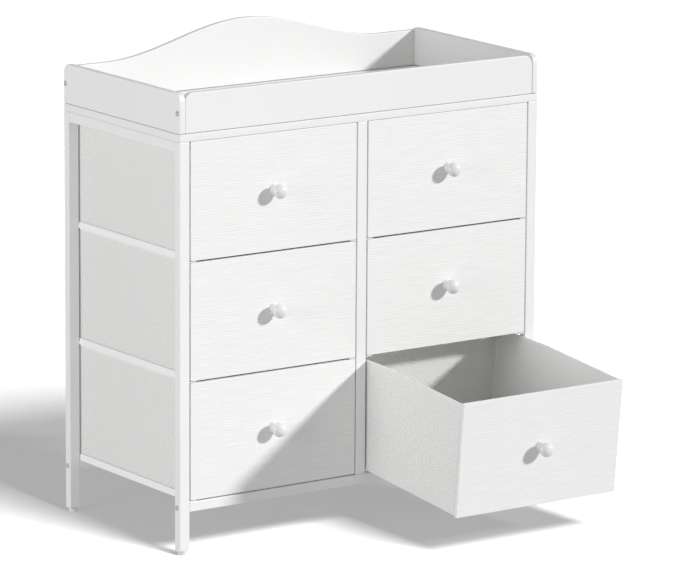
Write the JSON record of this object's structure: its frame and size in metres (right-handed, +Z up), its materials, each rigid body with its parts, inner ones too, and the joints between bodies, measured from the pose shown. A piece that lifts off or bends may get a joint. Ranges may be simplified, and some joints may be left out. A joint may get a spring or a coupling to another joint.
{
  "type": "changing table",
  "caption": "Baby changing table: a white tray with a wave-topped back board on a slim steel frame, with fabric drawers that have wood-grained fronts and round knobs.",
  "frame": {"origin": "on the floor, half-way across the width and half-way between the open drawer's knob and the cabinet's back", "axes": "+X towards the right seen from the front, +Y towards the back, +Z up"},
  "size_m": [0.8536, 0.765, 0.9633],
  "materials": {
    "frame_steel": "satin white powder coat",
    "runner_steel": "satin white powder coat",
    "painted_board": "smooth white satin paint",
    "grained_front": "white with a fine embossed horizontal wood grain",
    "woven_fabric": "light grey woven cloth with fine diagonal ribs",
    "base_board": "plain matt fibreboard",
    "knob_paint": "white gloss",
    "glide_plastic": "matt white",
    "bolt_steel": "satin"
  },
  "bodies": {
    "cabinet": {"top_panel": "painted_board", "tray_front": "painted_board", "tray_back": "painted_board", "tray_side_left": "painted_board", "tray_side_right": "painted_board", "leg_front_left": "frame_steel", "leg_rear_left": "frame_steel", "leg_front_right": "frame_steel", "leg_rear_right": "frame_steel", "upright_front": "frame_steel", "upright_rear": "frame_steel", "bottom_rail_front": "frame_steel", "bottom_rail_rear": "frame_steel", "upper_rail_left": "frame_steel", "upper_rail_right": "frame_steel", "runner_bottom_left": "runner_steel", "runner_bottom_centre": "runner_steel", "runner_bottom_right": "runner_steel", "runner_middle_left": "runner_steel", "runner_middle_centre": "runner_steel", "runner_middle_right": "runner_steel", "runner_top_left": "runner_steel", "runner_top_centre": "runner_steel", "runner_top_right": "runner_steel", "foot_front_left": "glide_plastic", "foot_rear_left": "glide_plastic", "foot_front_right": "glide_plastic", "foot_rear_right": "glide_plastic", "tray_bolt_front_left": "bolt_steel", "tray_bolt_rear_left": "bolt_steel", "tray_bolt_front_right": "bolt_steel", "tray_bolt_rear_right": "bolt_steel", "leg_bolt_front_left": "bolt_steel", "leg_bolt_rear_left": "bolt_steel", "leg_bolt_front_right": "bolt_steel", "leg_bolt_rear_right": "bolt_steel"},
    "drawer_bottom_left": {"drawer_bottom_left_front": "grained_front", "drawer_bottom_left_box": "woven_fabric", "drawer_bottom_left_base": "base_board", "drawer_bottom_left_knob": "knob_paint"},
    "drawer_bottom_right": {"drawer_bottom_right_front": "grained_front", "drawer_bottom_right_box": "woven_fabric", "drawer_bottom_right_base": "base_board", "drawer_bottom_right_knob": "knob_paint"},
    "drawer_middle_left": {"drawer_middle_left_front": "grained_front", "drawer_middle_left_box": "woven_fabric", "drawer_middle_left_base": "base_board", "drawer_middle_left_knob": "knob_paint"},
    "drawer_middle_right": {"drawer_middle_right_front": "grained_front", "drawer_middle_right_box": "woven_fabric", "drawer_middle_right_base": "base_board", "drawer_middle_right_knob": "knob_paint"},
    "drawer_top_left": {"drawer_top_left_front": "grained_front", "drawer_top_left_box": "woven_fabric", "drawer_top_left_base": "base_board", "drawer_top_left_knob": "knob_paint"},
    "drawer_top_right": {"drawer_top_right_front": "grained_front", "drawer_top_right_box": "woven_fabric", "drawer_top_right_base": "base_board", "drawer_top_right_knob": "knob_paint"}
  },
  "joints": [
    {"name": "slide_bottom_left", "type": "slide", "parent": "cabinet", "child": "drawer_bottom_left", "axis": [0, -1, 0], "range_m": [0, 0.3]},
    {"name": "tip_bottom_right", "type": "hinge", "parent": "cabinet", "child": "drawer_bottom_right", "pos_m": [0.20683, 0.11484, -3.06125], "axis": [1, 0, 0], "range_deg": [-5.5, 0]},
    {"name": "slide_middle_left", "type": "slide", "parent": "cabinet", "child": "drawer_middle_left", "axis": [0, -1, 0], "range_m": [0, 0.3]},
    {"name": "slide_middle_right", "type": "slide", "parent": "cabinet", "child": "drawer_middle_right", "axis": [0, -1, 0], "range_m": [0, 0.3]},
    {"name": "slide_top_left", "type": "slide", "parent": "cabinet", "child": "drawer_top_left", "axis": [0, -1, 0], "range_m": [0, 0.3]},
    {"name": "slide_top_right", "type": "slide", "parent": "cabinet", "child": "drawer_top_right", "axis": [0, -1, 0], "range_m": [0, 0.3]}
  ]
}
